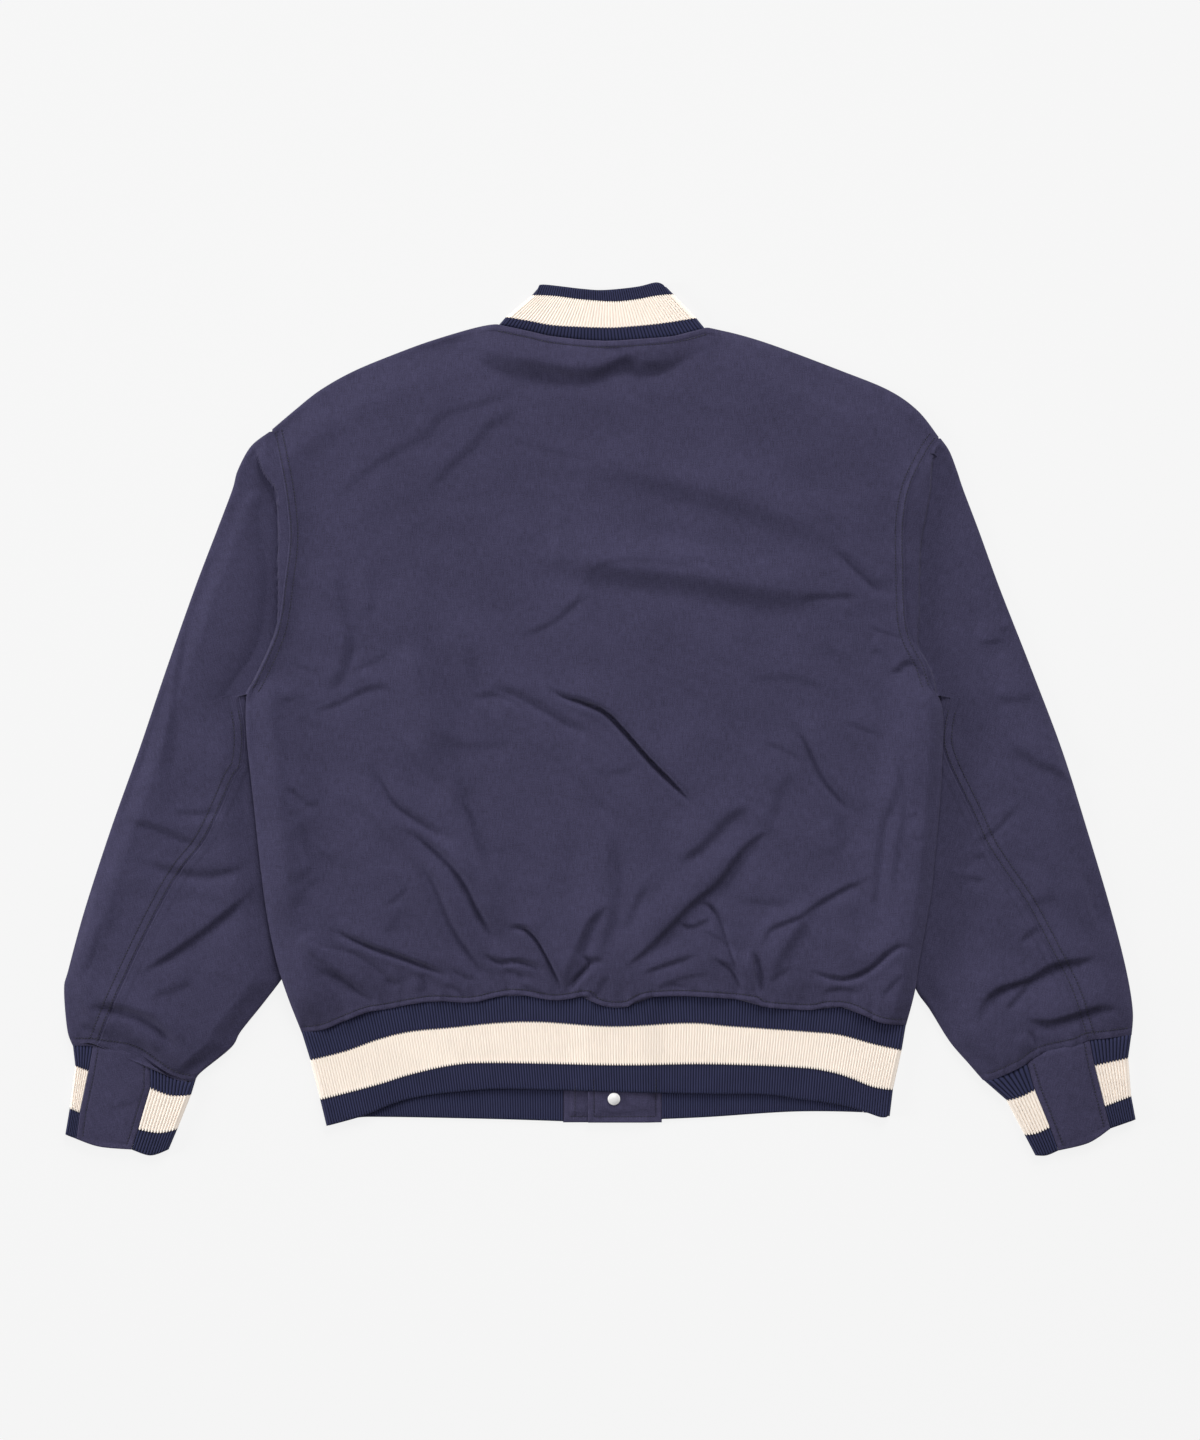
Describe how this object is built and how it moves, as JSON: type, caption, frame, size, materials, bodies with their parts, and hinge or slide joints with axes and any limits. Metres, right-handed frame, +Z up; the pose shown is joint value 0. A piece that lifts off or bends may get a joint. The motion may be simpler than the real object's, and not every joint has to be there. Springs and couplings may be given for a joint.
{
  "type": "varsity jacket laid flat, back up",
  "caption": "Long-sleeved varsity jacket in twill with striped rib collar, cuffs and hem, lying flat with its back up.",
  "frame": {"origin": "middle of the jacket's outline, on the surface it lies on", "axes": "+X to the wearer's right, +Y to the collar, +Z up from the surface, out of the jacket's back"},
  "size_m": [0.9873, 0.8044, 0.0125],
  "materials": {
    "twill": "matte slate-violet twill with faint slubs",
    "rib": "rib knit, navy with one broad cream stripe",
    "snap": "satin white cap"
  },
  "bodies": {
    "root": {"back_panel": "twill", "front_left": "twill", "front_right": "twill", "sleeve_upper_left": "twill", "sleeve_upper_right": "twill", "sleeve_under_left": "twill", "sleeve_under_right": "twill", "cuff_insert_left": "twill", "cuff_insert_right": "twill", "hem_end_left": "twill", "hem_end_right": "twill", "collar_rib": "rib", "hem_rib": "rib", "cuff_rib_left": "rib", "cuff_rib_right": "rib", "snap_1": "snap", "snap_2": "snap", "snap_3": "snap", "snap_4": "snap", "snap_5": "snap", "snap_6": "snap", "snap_7": "snap"}
  },
  "joints": []
}
